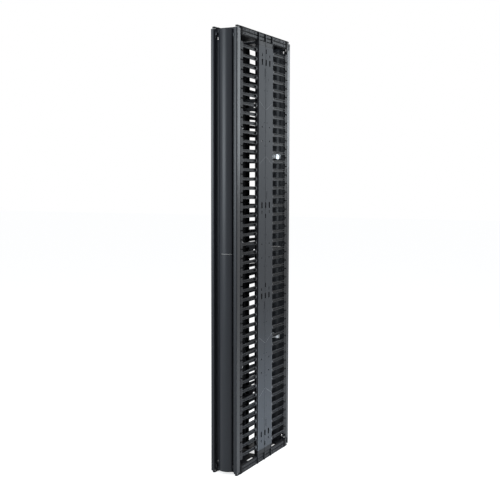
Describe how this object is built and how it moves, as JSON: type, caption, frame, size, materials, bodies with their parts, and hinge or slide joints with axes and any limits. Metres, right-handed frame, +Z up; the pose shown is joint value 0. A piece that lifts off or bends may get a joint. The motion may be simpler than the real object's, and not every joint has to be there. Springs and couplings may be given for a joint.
{
  "type": "vertical cable manager",
  "caption": "Tall double-sided vertical cable manager with rack-unit fingers, twin spines and dual-hinged front and rear doors on slide bolts.",
  "frame": {"origin": "middle of the footprint, on the floor", "axes": "+X across the width to the right as one faces the front door, +Y from the front door to the rear door, +Z up"},
  "size_m": [0.152, 0.6, 2.134],
  "materials": {
    "frame_paint": "satin black powder coat",
    "cover_paint": "satin charcoal powder coat",
    "door_paint": "satin black powder coat",
    "finger_plastic": "matt black moulded",
    "pin_steel": "black zinc plated",
    "pad_nylon": "natural nylon"
  },
  "bodies": {
    "frame": {"bottom_rail_left": "frame_paint", "bottom_rail_right": "frame_paint", "top_rail_left": "frame_paint", "top_rail_right": "frame_paint", "bottom_end_plates": "frame_paint", "top_end_plates": "frame_paint", "spine_left": "frame_paint", "spine_right": "frame_paint", "spine_cover_left": "cover_paint", "spine_cover_right": "cover_paint", "spine_braces": "frame_paint", "rail_spacers": "frame_paint", "door_pads": "pad_nylon", "front_fingers_left_1": "finger_plastic", "front_fingers_left_2": "finger_plastic", "front_fingers_left_3": "finger_plastic", "front_fingers_left_4": "finger_plastic", "front_fingers_left_5": "finger_plastic", "front_fingers_right_1": "finger_plastic", "front_fingers_right_2": "finger_plastic", "front_fingers_right_3": "finger_plastic", "front_fingers_right_4": "finger_plastic", "front_fingers_right_5": "finger_plastic", "rear_fingers_left_1": "finger_plastic", "rear_fingers_left_2": "finger_plastic", "rear_fingers_left_3": "finger_plastic", "rear_fingers_left_4": "finger_plastic", "rear_fingers_left_5": "finger_plastic", "rear_fingers_right_1": "finger_plastic", "rear_fingers_right_2": "finger_plastic", "rear_fingers_right_3": "finger_plastic", "rear_fingers_right_4": "finger_plastic", "rear_fingers_right_5": "finger_plastic"},
    "front_door": {"front_door_stile_left": "door_paint", "front_door_stile_right": "door_paint", "front_door_panel_lower": "door_paint", "front_door_panel_upper": "door_paint", "front_door_tie_plates": "door_paint"},
    "rear_door": {"rear_door_stile_left": "door_paint", "rear_door_stile_right": "door_paint", "rear_door_panel_lower": "door_paint", "rear_door_panel_upper": "door_paint", "rear_door_tie_plates": "door_paint"},
    "front_bolt_bottom_left": {"front_door_bolt_bottom_left": "pin_steel"},
    "front_bolt_bottom_right": {"front_door_bolt_bottom_right": "pin_steel"},
    "front_bolt_top_left": {"front_door_bolt_top_left": "pin_steel"},
    "front_bolt_top_right": {"front_door_bolt_top_right": "pin_steel"},
    "rear_bolt_bottom_left": {"rear_door_bolt_bottom_left": "pin_steel"},
    "rear_bolt_bottom_right": {"rear_door_bolt_bottom_right": "pin_steel"},
    "rear_bolt_top_left": {"rear_door_bolt_top_left": "pin_steel"},
    "rear_bolt_top_right": {"rear_door_bolt_top_right": "pin_steel"}
  },
  "joints": [
    {"name": "front_door_swing", "type": "hinge", "parent": "frame", "child": "front_door", "pos_m": [-0.061, -0.282, 0.0115], "axis": [0, 0, -1], "range_deg": [0, 115]},
    {"name": "rear_door_swing", "type": "hinge", "parent": "frame", "child": "rear_door", "pos_m": [0.061, 0.282, 0.0115], "axis": [0, 0, -1], "range_deg": [0, 115]},
    {"name": "front_bolt_bottom_left_slide", "type": "slide", "parent": "front_door", "child": "front_bolt_bottom_left", "axis": [0, 0, -1], "range_m": [-0.01, 0]},
    {"name": "front_bolt_bottom_right_slide", "type": "slide", "parent": "front_door", "child": "front_bolt_bottom_right", "axis": [0, 0, -1], "range_m": [0, 0.01]},
    {"name": "front_bolt_top_left_slide", "type": "slide", "parent": "front_door", "child": "front_bolt_top_left", "axis": [0, 0, 1], "range_m": [-0.01, 0]},
    {"name": "front_bolt_top_right_slide", "type": "slide", "parent": "front_door", "child": "front_bolt_top_right", "axis": [0, 0, 1], "range_m": [0, 0.01]},
    {"name": "rear_bolt_bottom_left_slide", "type": "slide", "parent": "rear_door", "child": "rear_bolt_bottom_left", "axis": [0, 0, -1], "range_m": [-0.01, 0]},
    {"name": "rear_bolt_bottom_right_slide", "type": "slide", "parent": "rear_door", "child": "rear_bolt_bottom_right", "axis": [0, 0, -1], "range_m": [0, 0.01]},
    {"name": "rear_bolt_top_left_slide", "type": "slide", "parent": "rear_door", "child": "rear_bolt_top_left", "axis": [0, 0, 1], "range_m": [-0.01, 0]},
    {"name": "rear_bolt_top_right_slide", "type": "slide", "parent": "rear_door", "child": "rear_bolt_top_right", "axis": [0, 0, 1], "range_m": [0, 0.01]}
  ]
}
